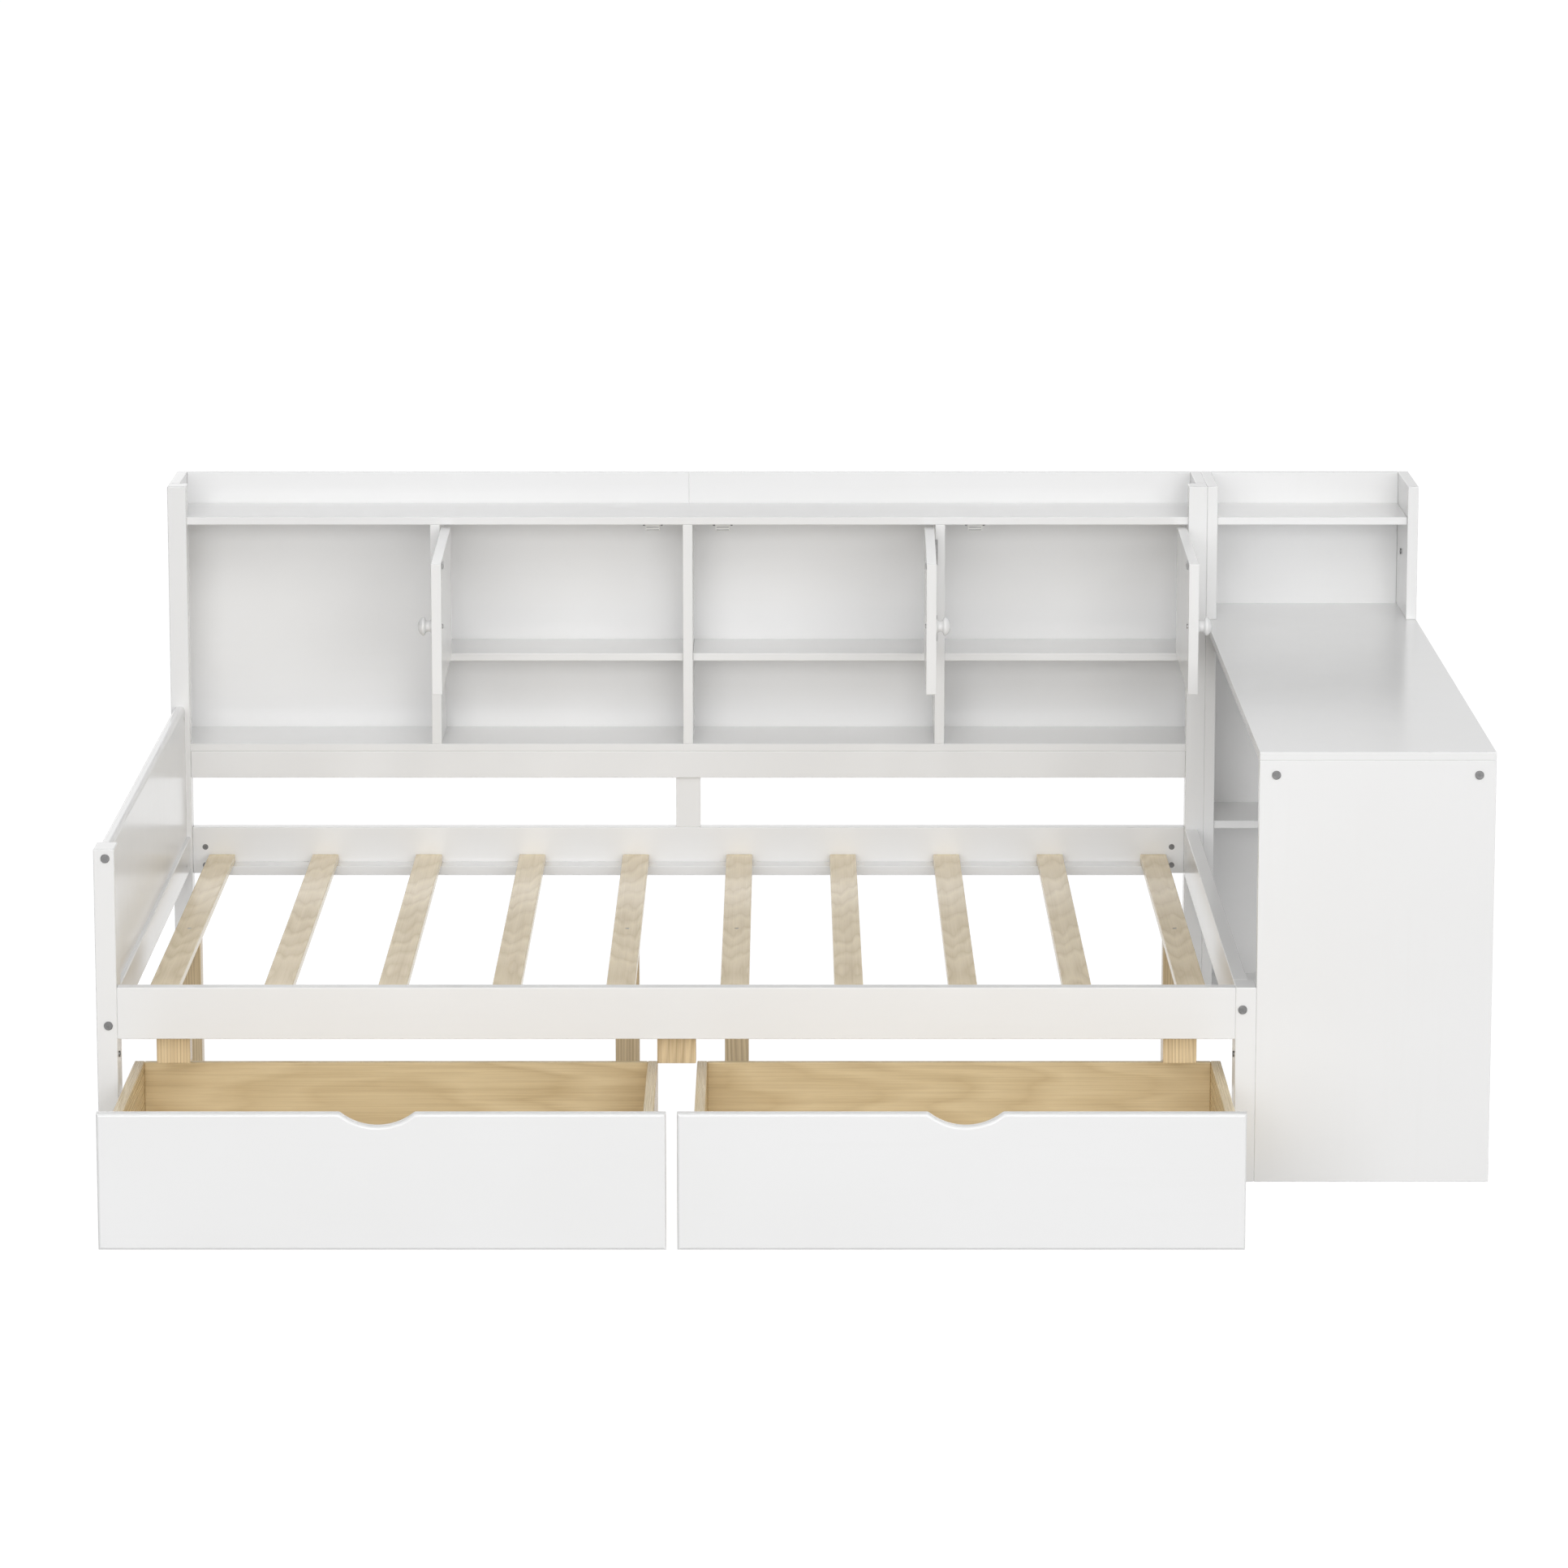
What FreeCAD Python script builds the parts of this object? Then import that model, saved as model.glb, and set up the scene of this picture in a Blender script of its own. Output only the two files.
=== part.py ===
import FreeCAD, Part
import math
import os

from FreeCAD import Placement, Rotation, Vector

os.makedirs("parts", exist_ok=True)

# A platform bed that stands with its long side to the front (-Y). A footboard closes its left end,
# a bookcase with three small doors runs along its rear side, a narrow desk with a hutch is joined to
# its right end, and two drawers on casters roll out from under its front rail.
#
# Working frame, in millimetres: X = 0 on the left posts' inner face, Y = 0 on the front posts' front
# face, Z = 0 on the floor. The export moves the origin to the middle of the whole footprint.
# The drawers are drawn rolled out and the doors open, because that is how the bed rests at zero.

# ---- Posts, rails and footboard -------------------------------------------------------------------
inner_length = 1930.0           # between the left and the right posts
post_width = 36.0               # posts and uprights, along X
post_depth = 65.0               # front posts, along Y
upright_depth = 45.0
clear_depth = 1348.0            # from the front posts to the uprights
foot_height = 588.0             # left front post and footboard
overall_height = 1017.0         # uprights, bookcase sides and back panels
rail_bottom = 254.0
rail_height = 91.0
rail_thickness = 25.0
back_rail_setback = 21.0        # behind the uprights' front face
foot_panel_thickness = 19.0
foot_panel_inset = 9.5          # from the posts' inner face to the panel's inner face
foot_rail_rise = 12.5            # footboard's lower rail above the rails' bottom edge
foot_rail_height = 63.5
foot_rail_thickness = 26.0
foot_rail_inset = 2.5
foot_top_round_inner = 8.0
foot_top_round_outer = 5.0
post_round = 2.0
edge_round = 1.5                # eased edges of the painted boards
ease_limit = 0.4                # the most an eased edge takes of a board's thinnest side

# ---- Slats and what carries them ------------------------------------------------------------------
slat_count = 10
slat_width = 51.0
slat_thickness = 15.0
slat_left_margin = 31.0
slat_right_margin = 34.5
slat_end_clearance = 1.0
slat_round = 2.0
ledger_rise = 23.0              # ledger top above the rails' bottom edge
ledger_width = 45.0
ledger_thickness = 18.0
ledger_end_margin = 45.0
leg_size = 44.0
leg_slats = (0, 4, 5, 9)        # the slats that stand on a leg, counted from the left
stop_clearance = 18.0           # over the drawer boxes that slide under the stops
stop_depth = 40.0
stop_end_width = 58.0
stop_middle_width = 67.0
stop_end_inset = 64.5

# ---- Bookcase -------------------------------------------------------------------------------------
side_thickness = 20.0
bookcase_setback = 11.0         # bookcase front behind the uprights' front face
shelf_depth = 192.0
back_thickness = 12.0
board_thickness = 15.0
divider_thickness = 19.0
bay_count = 4
top_shelf_drop = 61.0           # top shelf below the uprights' top
mid_shelf_top = 687.0
bottom_board_top = 512.0
apron_height = 52.0
apron_thickness = 19.0
centre_post_width = 47.0

# ---- Desk -----------------------------------------------------------------------------------------
desk_width = 406.0
desk_height = 758.0
desktop_thickness = 15.0
desk_front_thickness = 20.0
desk_rail_thickness = 18.0
desk_rail_height = 50.0
desk_rail_lap = 120.0           # how far the side rails run past the front of the lower sides
desk_shelf_top = 360.0

# ---- Doors ----------------------------------------------------------------------------------------
door_thickness = 19.0
door_side_gap = 1.1
door_end_gap = 4.0
door_rest_angle = 89.27         # how far the doors stand open
knob_radius = 17.5
knob_neck_radius = 10.0
knob_base_radius = 13.5
knob_base_height = 1.5
knob_neck_height = 7.5
knob_shoulder_height = 12.6
knob_rim_height = 17.5
knob_projection = 27.0
knob_from_edge = 38.0
knob_bow = 0.2                  # how far the knob's curves stand off their straight lines
knob_bow_height = 0.6           # how far up the flare of the neck bows most
knob_bore_depth = 14.0
strike_width = 34.0
strike_height = 11.0
strike_thickness = 2.5
strike_below_top = 5.2          # strike plate's top edge below the door's top edge
catch_from_edge = 57.0
catch_width = 27.5
catch_depth = 18.0
catch_height = 15.0
catch_flange_width = 41.0
catch_flange_depth = 12.0
catch_flange_thickness = 3.0
catch_gap = 0.8                 # between a closed door's strike plate and its catch
screw_radius = 2.0
screw_head_radius = 4.5
screw_head_height = 1.8
screw_head_round = 0.7
screw_slot_width = 1.0
screw_slot_depth = 0.9

# ---- Door hinges ----------------------------------------------------------------------------------
hinge_height = 50.0
hinge_from_door_end = 24.0
hinge_leaf_thickness = 0.5
hinge_leaf_width = 17.0
hinge_pin_radius = 1.5
hinge_knuckle_radius = 3.0
hinge_middle_knuckle = 18.0
hinge_knuckle_gap = 0.3         # between knuckles, end to end
hinge_pin_beyond = 1.25         # pin centre beyond the face that the leaf is screwed to
hinge_pin_ahead = 3.6           # pin centre in front of the bookcase front
hinge_pocket_clearance = 0.3

# ---- Drawers --------------------------------------------------------------------------------------
drawer_pull = 505.0             # how far the drawers stand rolled out from closed
front_end_gap = 14.75           # drawer front to post
front_middle_gap = 18.5         # between the two drawer fronts
front_floor_gap = 11.0
front_rail_gap = 11.0           # drawer front to the rail above it
front_thickness = 20.0
front_round = 5.0
front_back_round = 2.0
scoop_radius = 97.0
scoop_depth = 22.5
scoop_offset = 6.75             # scoop centre off the front's middle, towards the post
scoop_corner_round = 8.0
box_post_inset = 1.0            # box side behind the front's end, at the post
box_middle_inset = 25.0         # the same at the middle of the bed
box_depth = 602.0
box_top_drop = 67.0             # box top below the rails' bottom edge
box_side_thickness = 18.0
box_back_thickness = 12.0
tray_thickness = 9.0
tray_rise = 22.0                # tray's underside above the box's bottom edge
groove_depth = 6.0
groove_clearance = 0.2
drawer_screw_rise = 9.0         # lower screws above the tray
drawer_screw_drop = 56.0        # upper screws below the box's top
drawer_screw_reach = 48.0
drawer_screw_head_radius = 3.5

# ---- Casters --------------------------------------------------------------------------------------
wheel_radius = 18.0
wheel_width = 16.0
wheel_round = 2.5
axle_radius = 2.5
hub_recess_radius = 12.0
hub_recess_depth = 2.5
hub_radius = 6.0
wheel_top_gap = 4.0             # wheel to the bracket's plate above it
cheek_gap = 0.5                 # wheel side to bracket cheek
bracket_metal = 2.0
bracket_plate_length = 34.0
bracket_plate_lip = 9.0
cheek_radius = 8.0
axle_head_height = 1.2
caster_inset_x = 60.0
caster_inset_y = 65.0

# ---- Fasteners and fits ---------------------------------------------------------------------------
bolt_radius = 3.0
bolt_head_radius = 7.7
bolt_head_height = 2.4
bolt_head_round = 0.84
bolt_socket = 5.0               # hexagon socket, across flats
bolt_socket_depth = 1.6
bolt_end_room = 1.0
small_head_radius = 5.6
nut_radius = 5.6
nut_slot = 1.2
nut_overrun = 6.0               # nut length past the bolt's axis
bolt_reach_past_nut = 8.0
slat_screw_head_radius = 4.0
slat_screw_reach = 45.0
slat_screw_head_height = 1.5
running_fit = 0.05              # radial clearance of a pin in its bore
drill_fit = 0.05                # radial clearance of a fastener in its hole

foot_bolt_drop_front = 16.0     # bolts below the footboard's top
foot_bolt_drop_rear = 22.0
foot_rail_bolt_rise_front = 11.0
foot_rail_bolt_rise_rear = 23.5
foot_nut_setback = 15.0
foot_rail_nut_setback = 88.0
end_rail_nut_setback = 35.0
end_rail_bolt_rise = 52.0
rail_nut_setback = 24.0
front_rail_bolt_rises = (14.0, 74.0)    # above the rails' bottom edge
back_rail_bolt_rises = (16.0, 52.0)
end_rail_stud_depth = 25.0      # in the right upright, short of the back rail's bolts
post_bolt_drop = 31.0           # post cross bolt below the rails
post_bolt_setback = 21.0
post_bolt_reach = 24.0
desk_bolt_drop = 25.0           # desk bolts below the desktop's underside
desk_nut_setback = 35.0
hutch_bolt_level = 0.63         # how far up from the desktop to the hutch shelf
hutch_bolt_setback = 120.0
hutch_bolt_grip = 10.0          # in the bookcase side
hutch_bolt_cover = 6.0          # wood left past the outer bolt's end

# ---- Limits for finding edges ---------------------------------------------------------------------
same_place = 0.01
same_direction = 0.999

# ---- Places worked out from the sizes above -------------------------------------------------------
left_outer = -post_width
right_outer = inner_length + post_width
desk_outer = right_outer + desk_width
middle = inner_length / 2

upright_front = post_depth + clear_depth
upright_back = upright_front + upright_depth
back_rail_front = upright_front + back_rail_setback
bookcase_front = upright_front + bookcase_setback
back_face = bookcase_front + shelf_depth
rear = back_face + back_thickness

rail_top = rail_bottom + rail_height
foot_rail_bottom = rail_bottom + foot_rail_rise
ledger_top = rail_bottom + ledger_rise
ledger_bottom = ledger_top - ledger_thickness
slat_top = ledger_top + slat_thickness

side_left_inner = left_outer + side_thickness
side_right_inner = right_outer - side_thickness
top_shelf_top = overall_height - top_shelf_drop
top_shelf_bottom = top_shelf_top - board_thickness
bottom_board_bottom = bottom_board_top - board_thickness
apron_bottom = bottom_board_bottom - apron_height
bay_width = (inner_length - (bay_count - 1) * divider_thickness) / bay_count
bay_pitch = bay_width + divider_thickness
desk_under = desk_height - desktop_thickness
desk_left_inner = right_outer + side_thickness
desk_right_inner = desk_outer - side_thickness

closed_front_face = rail_thickness - front_thickness
front_face = closed_front_face - drawer_pull
box_front = front_face + front_thickness
box_rear = box_front + box_depth
box_top = rail_bottom - box_top_drop
tray_bottom = 2 * wheel_radius + wheel_top_gap + bracket_metal
box_bottom = tray_bottom - tray_rise

# A hinge leaf runs forward to end inside the wall of its knuckle, clear of the pin.
hinge_tongue_reach = hinge_pin_ahead - hinge_pin_radius

footprint_centre = Vector((left_outer + desk_outer) / 2, (front_face + rear) / 2, 0)

nodes = {}
bolts = []
nuts = []


# ---- Shapes used throughout -----------------------------------------------------------------------
def block(x0, x1, y0, y1, z0, z1):
    """A plain box between two corners."""
    return Part.makeBox(x1 - x0, y1 - y0, z1 - z0, Vector(x0, y0, z0))


def board(x0, x1, y0, y1, z0, z1, radius=edge_round):
    """A box with every edge eased, by no more than its thinnest side allows."""
    solid = block(x0, x1, y0, y1, z0, z1)
    limit = ease_limit * min(x1 - x0, y1 - y0, z1 - z0)
    return solid.makeFillet(min(radius, limit), solid.Edges)


def rod(radius, length, start, direction):
    return Part.makeCylinder(radius, length, start, direction)


def turned(placement_point, direction, solid):
    """Set a solid drawn along +Z from the origin at a point, along a direction."""
    copy = solid.copy()
    copy.Placement = Placement(placement_point, Rotation(Vector(0, 0, 1), direction))
    return copy


def edge_runs_along(edge, axis):
    run = edge.Vertexes[-1].Point - edge.Vertexes[0].Point
    return run.Length > 0 and abs(run.normalize().dot(axis)) > same_direction


def add(name, *solids):
    nodes[name] = list(solids)


def cut_from(names, tool):
    for name in names:
        nodes[name] = [solid.cut(tool) for solid in nodes[name]]


# ---- Bed frame ------------------------------------------------------------------------------------
def build_posts():
    add("left_front_post", board(left_outer, 0, 0, post_depth, 0, foot_height, post_round))
    add("right_front_post", board(inner_length, right_outer, 0, post_depth, 0, rail_top, post_round))
    for name, x0 in (("left_upright", left_outer), ("right_upright", inner_length)):
        post = board(x0, x0 + post_width, upright_front, upright_back, 0, overall_height, post_round)
        add(name, post)


def build_footboard():
    panel_inner = -foot_panel_inset
    panel_outer = panel_inner - foot_panel_thickness
    rail_top_edge = foot_rail_bottom + foot_rail_height
    panel = block(panel_outer, panel_inner, post_depth, upright_front, rail_top_edge, foot_height)
    for x, radius in ((panel_inner, foot_top_round_inner), (panel_outer, foot_top_round_outer)):
        edges = [edge for edge in panel.Edges
                 if edge_runs_along(edge, Vector(0, 1, 0))
                 and abs(edge.Vertexes[0].X - x) < same_place
                 and abs(edge.Vertexes[0].Z - foot_height) < same_place]
        panel = panel.makeFillet(radius, edges)
    add("footboard_panel", panel)
    rail_inner = -foot_rail_inset
    add("footboard_lower_rail",
        board(rail_inner - foot_rail_thickness, rail_inner, post_depth, upright_front,
              foot_rail_bottom, rail_top_edge, post_round))


def build_rails():
    add("front_rail", board(0, inner_length, 0, rail_thickness, rail_bottom, rail_top))
    add("back_rail", board(0, inner_length, back_rail_front, back_rail_front + rail_thickness,
                           rail_bottom, rail_top))
    add("right_end_rail", board(inner_length, inner_length + rail_thickness, post_depth, upright_front,
                                rail_bottom, rail_top))


def slat_left_edge(index):
    run = inner_length - slat_left_margin - slat_right_margin - slat_width
    return slat_left_margin + index * run / (slat_count - 1)


def leg_centre(index):
    return Vector(slat_left_edge(index) + slat_width / 2, (post_depth + upright_front) / 2, 0)


def build_slats():
    ledger_x0 = ledger_end_margin
    ledger_x1 = inner_length - ledger_end_margin
    add("slat_ledgers",
        board(ledger_x0, ledger_x1, rail_thickness, rail_thickness + ledger_width,
              ledger_bottom, ledger_top),
        board(ledger_x0, ledger_x1, back_rail_front - ledger_width, back_rail_front,
              ledger_bottom, ledger_top))
    slats = []
    for index in range(slat_count):
        x0 = slat_left_edge(index)
        slats.append(board(x0, x0 + slat_width, rail_thickness + slat_end_clearance,
                           back_rail_front - slat_end_clearance, ledger_top, slat_top, slat_round))
    add("slats", *slats)
    legs = []
    for index in leg_slats:
        centre = leg_centre(index)
        half = leg_size / 2
        legs.append(board(centre.x - half, centre.x + half, centre.y - half, centre.y + half,
                          0, ledger_top, slat_round))
    add("slat_legs", *legs)


def build_stop_blocks():
    """Blocks under the front ledger that the drawer fronts meet when they close."""
    spans = ((stop_end_inset, stop_end_inset + stop_end_width),
             (middle - stop_middle_width / 2, middle + stop_middle_width / 2),
             (inner_length - stop_end_inset - stop_end_width, inner_length - stop_end_inset))
    stops = [board(x0, x1, rail_thickness, rail_thickness + stop_depth,
                   box_top + stop_clearance, ledger_bottom) for x0, x1 in spans]
    add("drawer_stop_blocks", *stops)


# ---- Bookcase -------------------------------------------------------------------------------------
def wide_shelf(z_top):
    """A shelf the full width of the case, cut out at its front corners for the uprights."""
    shelf = board(side_left_inner, side_right_inner, bookcase_front, back_face,
                  z_top - board_thickness, z_top)
    for x0, x1 in ((side_left_inner, 0), (inner_length, side_right_inner)):
        shelf = shelf.cut(block(x0, x1, bookcase_front, upright_back, z_top - board_thickness, z_top))
    return shelf


def bay_left(index):
    return index * bay_pitch


def build_bookcase():
    add("bookcase_sides",
        board(left_outer, side_left_inner, upright_back, rear, 0, overall_height),
        board(side_right_inner, right_outer, upright_back, rear, 0, overall_height))
    add("bookcase_top_shelf", wide_shelf(top_shelf_top))
    add("bookcase_bottom_board", wide_shelf(bottom_board_top))
    add("bookcase_apron", board(0, inner_length, bookcase_front, bookcase_front + apron_thickness,
                                apron_bottom, bottom_board_bottom))
    dividers = []
    shelves = []
    for index in range(1, bay_count):
        x1 = bay_left(index)
        dividers.append(board(x1 - divider_thickness, x1, bookcase_front, back_face,
                              bottom_board_top, top_shelf_bottom))
        shelves.append(board(x1, x1 + bay_width, bookcase_front + door_thickness, back_face,
                             mid_shelf_top - board_thickness, mid_shelf_top))
    add("bookcase_dividers", *dividers)
    add("door_bay_shelves", *shelves)
    add("bookcase_back_panels",
        board(side_left_inner, middle, back_face, rear, apron_bottom, overall_height),
        board(middle, side_right_inner, back_face, rear, apron_bottom, overall_height))
    half = centre_post_width / 2
    add("centre_post", board(middle - half, middle + half, back_rail_front,
                             back_rail_front + rail_thickness, rail_top, apron_bottom))


# ---- Desk -----------------------------------------------------------------------------------------
def build_desk():
    add("desk_front_panel",
        board(right_outer, desk_outer, 0, desk_front_thickness, 0, desk_under))
    desktop = board(right_outer, desk_outer, 0, rear, desk_under, desk_height)
    add("desktop", desktop.cut(block(desk_left_inner, desk_right_inner, back_face, rear,
                                     desk_under, desk_height)))
    rails = []
    for x0 in (desk_left_inner, desk_right_inner - desk_rail_thickness):
        rails.append(board(x0, x0 + desk_rail_thickness, desk_front_thickness,
                           upright_front + desk_rail_lap, desk_under - desk_rail_height, desk_under))
    add("desk_side_rails", *rails)
    lower_sides = []
    hutch_sides = []
    for x0 in (right_outer, desk_right_inner):
        lower_sides.append(board(x0, x0 + side_thickness, upright_front, rear, 0, desk_under))
        hutch_sides.append(board(x0, x0 + side_thickness, upright_front, rear,
                                 desk_height, overall_height))
    add("desk_lower_sides", *lower_sides)
    add("hutch_sides", *hutch_sides)
    for name, z_top in (("hutch_shelf", top_shelf_top), ("desk_shelf", desk_shelf_top),
                        ("desk_bottom_board", board_thickness)):
        add(name, board(desk_left_inner, desk_right_inner, bookcase_front, back_face,
                        z_top - board_thickness, z_top))
    add("desk_back_panel",
        board(desk_left_inner, desk_right_inner, back_face, rear, 0, overall_height))


# ---- Doors ----------------------------------------------------------------------------------------
# Each door is drawn shut and then turned open about its pin. "u" runs from the face that carries the
# hinge across the bay, and side says which way: +1 for a door hung at its left, -1 at its right.
def across(face_x, side, u0, u1):
    return sorted((face_x + side * u0, face_x + side * u1))


def door_knob(base):
    """A turned knob on the door's outer face, pointing to the front, with a blind screw bore."""
    dome_radius = (knob_radius ** 2 + (knob_projection - knob_rim_height) ** 2) \
        / (2 * (knob_projection - knob_rim_height))
    dome_angle = math.asin(knob_radius / dome_radius) / 2
    dome_middle = (dome_radius * math.sin(dome_angle),
                   knob_projection - dome_radius * (1 - math.cos(dome_angle)))
    shoulder_radius = (knob_neck_radius + knob_radius) / 2
    axis_base = Vector(0, 0, 0)
    base_edge = Vector(knob_base_radius, 0, 0)
    base_top = Vector(knob_base_radius, 0, knob_base_height)
    neck = Vector(knob_neck_radius, 0, knob_neck_height)
    shoulder = Vector(shoulder_radius, 0, knob_shoulder_height)
    rim = Vector(knob_radius, 0, knob_rim_height)
    apex = Vector(0, 0, knob_projection)
    lower_bow = Vector(knob_neck_radius + knob_bow * (knob_base_radius - knob_neck_radius), 0,
                       (knob_base_height + knob_neck_height) / 2)
    upper_bow = Vector(knob_neck_radius + knob_bow * (shoulder_radius - knob_neck_radius), 0,
                       knob_neck_height + knob_bow_height * (knob_shoulder_height - knob_neck_height))
    rim_bow = Vector(knob_radius - knob_bow * (knob_radius - shoulder_radius), 0,
                     knob_rim_height - knob_bow_height * (knob_rim_height - knob_shoulder_height))
    outline = Part.Wire([
        Part.makeLine(axis_base, base_edge),
        Part.makeLine(base_edge, base_top),
        Part.Arc(base_top, lower_bow, neck).toShape(),
        Part.Arc(neck, upper_bow, shoulder).toShape(),
        Part.Arc(shoulder, rim_bow, rim).toShape(),
        Part.Arc(rim, Vector(dome_middle[0], 0, dome_middle[1]), apex).toShape(),
        Part.makeLine(apex, axis_base)])
    knob = Part.Face(outline).revolve(Vector(0, 0, 0), Vector(0, 0, 1), 360)
    knob = knob.cut(rod(screw_radius + drill_fit, knob_bore_depth, Vector(0, 0, 0), Vector(0, 0, 1)))
    return turned(base, Vector(0, -1, 0), knob)


def knob_screw(seat):
    """A screw from the door's inner face, through the door and into the knob."""
    head = rod(screw_head_radius, screw_head_height, Vector(0, 0, -screw_head_height), Vector(0, 0, 1))
    rim = [edge for edge in head.Edges
           if edge.Closed and abs(edge.Vertexes[0].Z + screw_head_height) < same_place]
    head = head.makeFillet(screw_head_round, rim)
    slot = block(-screw_head_radius, screw_head_radius, -screw_slot_width / 2, screw_slot_width / 2,
                 -screw_head_height, screw_slot_depth - screw_head_height)
    shank = rod(screw_radius, door_thickness + knob_bore_depth - bolt_end_room, Vector(0, 0, 0),
                Vector(0, 0, 1))
    return turned(seat, Vector(0, -1, 0), head.fuse(shank).cut(slot).removeSplitter())


def hinge_pin_point(face_x, side):
    return Vector(face_x - side * hinge_pin_beyond, bookcase_front - hinge_pin_ahead, 0)


def hinge_levels():
    low = mid_shelf_top + door_end_gap + hinge_from_door_end
    high = top_shelf_bottom - door_end_gap - hinge_from_door_end - hinge_height
    return (low, high)


def frame_hinge_half(face_x, side, z0):
    """The fixed leaf with its two end knuckles and the riveted pin."""
    pin = hinge_pin_point(face_x, side)
    x0, x1 = across(face_x, side, 0, hinge_leaf_thickness)
    middle_low = z0 + (hinge_height - hinge_middle_knuckle) / 2
    middle_high = middle_low + hinge_middle_knuckle
    half = block(x0, x1, bookcase_front, bookcase_front + hinge_leaf_width, z0, z0 + hinge_height)
    for low, high in ((z0, middle_low - hinge_knuckle_gap),
                      (middle_high + hinge_knuckle_gap, z0 + hinge_height)):
        knuckle = rod(hinge_knuckle_radius, high - low, Vector(pin.x, pin.y, low), Vector(0, 0, 1))
        tongue = block(x0, x1, bookcase_front - hinge_tongue_reach, bookcase_front, low, high)
        half = half.fuse([knuckle, tongue])
    pin_rod = rod(hinge_pin_radius, hinge_height, Vector(pin.x, pin.y, z0), Vector(0, 0, 1))
    return half.fuse(pin_rod).removeSplitter()


def door_hinge_half(face_x, side, z0):
    """The moving leaf with its middle knuckle, bored to run on the pin."""
    pin = hinge_pin_point(face_x, side)
    x0, x1 = across(face_x, side, door_side_gap - hinge_leaf_thickness, door_side_gap)
    low = z0 + (hinge_height - hinge_middle_knuckle) / 2
    high = low + hinge_middle_knuckle
    leaf = block(x0, x1, bookcase_front, bookcase_front + hinge_leaf_width, z0, z0 + hinge_height)
    tongue = block(x0, x1, bookcase_front - hinge_tongue_reach, bookcase_front, low, high)
    knuckle = rod(hinge_knuckle_radius, high - low, Vector(pin.x, pin.y, low), Vector(0, 0, 1))
    bore = rod(hinge_pin_radius + running_fit, high - low, Vector(pin.x, pin.y, low), Vector(0, 0, 1))
    return leaf.fuse([tongue, knuckle]).cut(bore).removeSplitter()


def build_door(number, face_x, side):
    """One door with its knob, screw, strike plate and moving hinge halves, turned to its rest angle."""
    z0 = mid_shelf_top + door_end_gap
    z1 = top_shelf_bottom - door_end_gap
    inner_face = bookcase_front + door_thickness
    far_edge = bay_width - door_side_gap
    x0, x1 = across(face_x, side, door_side_gap, far_edge)
    panel = board(x0, x1, bookcase_front, inner_face, z0, z1)
    knob_x = face_x + side * (far_edge - knob_from_edge)
    knob_z = (z0 + z1) / 2
    panel = panel.cut(rod(screw_radius + drill_fit, door_thickness,
                          Vector(knob_x, bookcase_front, knob_z), Vector(0, 1, 0)))
    knob = door_knob(Vector(knob_x, bookcase_front, knob_z))
    screw = knob_screw(Vector(knob_x, inner_face, knob_z))
    strike_u = far_edge - catch_from_edge
    strike_x0, strike_x1 = across(face_x, side, strike_u - strike_width / 2,
                                  strike_u + strike_width / 2)
    strike_top = z1 - strike_below_top
    strike = board(strike_x0, strike_x1, inner_face, inner_face + strike_thickness,
                   strike_top - strike_height, strike_top)
    leaves = [door_hinge_half(face_x, side, level) for level in hinge_levels()]
    pin = hinge_pin_point(face_x, side)
    for solid in [panel, knob, screw, strike] + leaves:
        solid.rotate(pin, Vector(0, 0, 1), -side * door_rest_angle)
    add("door_%d_panel" % number, panel)
    add("door_%d_knob" % number, knob)
    add("door_%d_fittings" % number, strike, screw, *leaves)


def build_catch(face_x, side):
    """A magnetic catch, flanged to the top shelf just behind the shut door's strike plate."""
    u = bay_width - door_side_gap - catch_from_edge
    x0, x1 = across(face_x, side, u - catch_width / 2, u + catch_width / 2)
    y0 = bookcase_front + door_thickness + strike_thickness + catch_gap
    housing = board(x0, x1, y0, y0 + catch_depth, top_shelf_bottom - catch_height, top_shelf_bottom)
    x0, x1 = across(face_x, side, u - catch_flange_width / 2, u + catch_flange_width / 2)
    y0 += (catch_depth - catch_flange_depth) / 2
    flange = board(x0, x1, y0, y0 + catch_flange_depth,
                   top_shelf_bottom - catch_flange_thickness, top_shelf_bottom)
    return housing.fuse(flange).removeSplitter()


def build_doors():
    hangings = ((1, bay_left(1), 1), (2, bay_left(2) + bay_width, -1), (3, inner_length, -1))
    halves = []
    catches = []
    for number, face_x, side in hangings:
        build_door(number, face_x, side)
        halves += [frame_hinge_half(face_x, side, level) for level in hinge_levels()]
        catches.append(build_catch(face_x, side))
    add("hinge_frame_leaves", *halves)
    add("magnet_catches", *catches)
    # The right upright stands ahead of the bookcase front, so its hinge knuckles sit in pockets.
    pin = hinge_pin_point(inner_length, -1)
    for level in hinge_levels():
        pocket = rod(hinge_knuckle_radius + hinge_pocket_clearance,
                     hinge_height + 2 * hinge_pocket_clearance,
                     Vector(pin.x, pin.y, level - hinge_pocket_clearance), Vector(0, 0, 1))
        cut_from(["right_upright"], pocket)


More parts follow.
